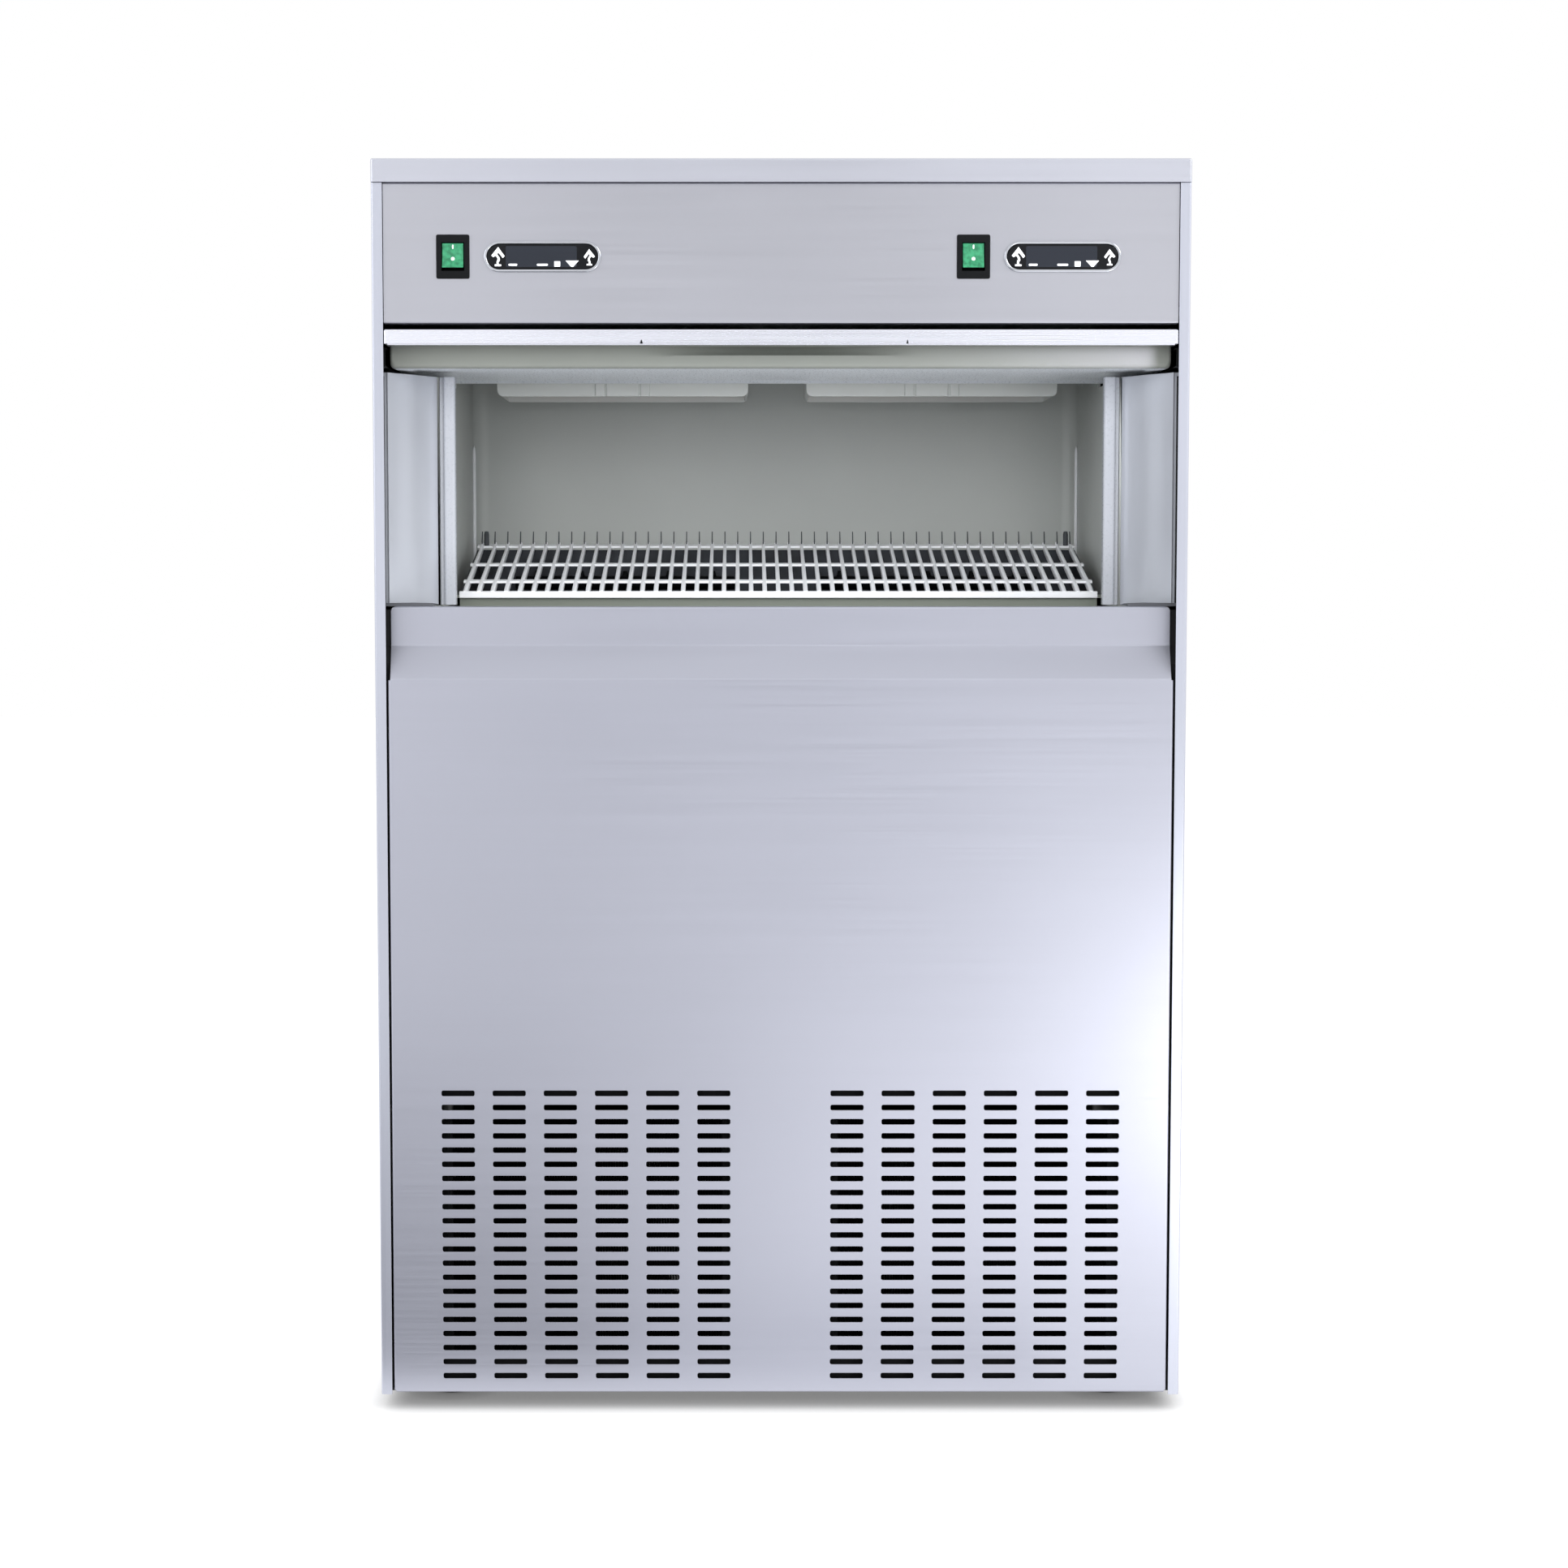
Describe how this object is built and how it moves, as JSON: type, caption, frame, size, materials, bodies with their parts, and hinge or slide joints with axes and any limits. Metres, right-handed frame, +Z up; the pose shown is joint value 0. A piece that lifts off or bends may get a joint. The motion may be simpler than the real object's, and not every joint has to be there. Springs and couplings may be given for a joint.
{
  "type": "ice maker",
  "caption": "Upright under-counter ice maker in folded stainless sheet, with an up-and-over bin door stowed open, a sloping comb grid over a water tank and a vented front panel.",
  "frame": {"origin": "centre of the footprint on the floor, under the feet", "axes": "+Z up, -Y out of the front with the door and controls, +X to the right seen from the front"},
  "size_m": [0.738, 0.69, 1.145],
  "materials": {
    "steel": "satin",
    "galvanised": "matte",
    "liner": "satin",
    "cheek": "gloss",
    "trim": "gloss",
    "foam": "matte",
    "beige": "satin",
    "white": "satin",
    "tank": "satin",
    "black": "satin",
    "black_steel": "satin",
    "rubber": "matte",
    "green": "gloss",
    "window": "gloss",
    "bright": "polished",
    "copper": "satin",
    "aluminium": "satin",
    "brass": "satin"
  },
  "bodies": {
    "cabinet": {"lid_panel": "steel", "side_panel_left": "steel", "side_panel_right": "steel", "control_panel": "steel", "front_panel": "steel", "rear_panel": "galvanised", "service_panel": "galvanised", "base_tray": "galvanised", "machine_deck": "galvanised", "ceiling_panel": "galvanised", "electrical_box": "galvanised", "fan_shroud_left": "galvanised", "fan_shroud_right": "galvanised", "foot_front_left": "rubber", "foot_front_right": "rubber", "foot_rear_left": "rubber", "foot_rear_right": "rubber", "insulation_foam": "foam", "bin_liner": "liner", "ice_grid": "white", "drain_pipe": "white", "water_tank": "tank", "cord_gland": "black", "water_inlet_valve": "brass", "cheek_left": "cheek", "edge_trim_left": "trim", "guide_rail_left": "white", "spray_bar_left": "white", "evaporator_housing_left": "white", "switch_housing_left": "black", "water_pump_left": "black", "display_bezel_left": "bright", "display_window_left": "window", "evaporator_left": "copper", "condenser_left": "aluminium", "compressor_left": "black_steel", "fan_motor_left": "black_steel", "cheek_right": "cheek", "edge_trim_right": "trim", "guide_rail_right": "white", "spray_bar_right": "white", "evaporator_housing_right": "white", "switch_housing_right": "black", "water_pump_right": "black", "display_bezel_right": "bright", "display_window_right": "window", "evaporator_right": "copper", "condenser_right": "aluminium", "compressor_right": "black_steel", "fan_motor_right": "black_steel"},
    "door": {"door_skin": "steel", "door_liner": "beige", "door_glide_left": "white", "door_glide_right": "white"},
    "rocker_left": {"rocker_left": "green"},
    "rocker_right": {"rocker_right": "green"},
    "fan_left": {"fan_left": "aluminium"},
    "fan_right": {"fan_right": "aluminium"}
  },
  "joints": [
    {"name": "door_slide", "type": "slide", "parent": "cabinet", "child": "door", "axis": [0, -1, 0], "range_m": [0, 0.2305]},
    {"name": "rocker_left_tilt", "type": "hinge", "parent": "cabinet", "child": "rocker_left", "pos_m": [-0.2957, -0.335, 1.0578], "axis": [1, 0, 0], "range_deg": [0, 14]},
    {"name": "rocker_right_tilt", "type": "hinge", "parent": "cabinet", "child": "rocker_right", "pos_m": [0.1732, -0.335, 1.0578], "axis": [1, 0, 0], "range_deg": [0, 14]},
    {"name": "fan_left_spin", "type": "hinge", "parent": "cabinet", "child": "fan_left", "pos_m": [-0.179, -0.25, 0.1415], "axis": [0, 1, 0], "continuous": true},
    {"name": "fan_right_spin", "type": "hinge", "parent": "cabinet", "child": "fan_right", "pos_m": [0.179, -0.25, 0.1415], "axis": [0, 1, 0], "continuous": true}
  ]
}
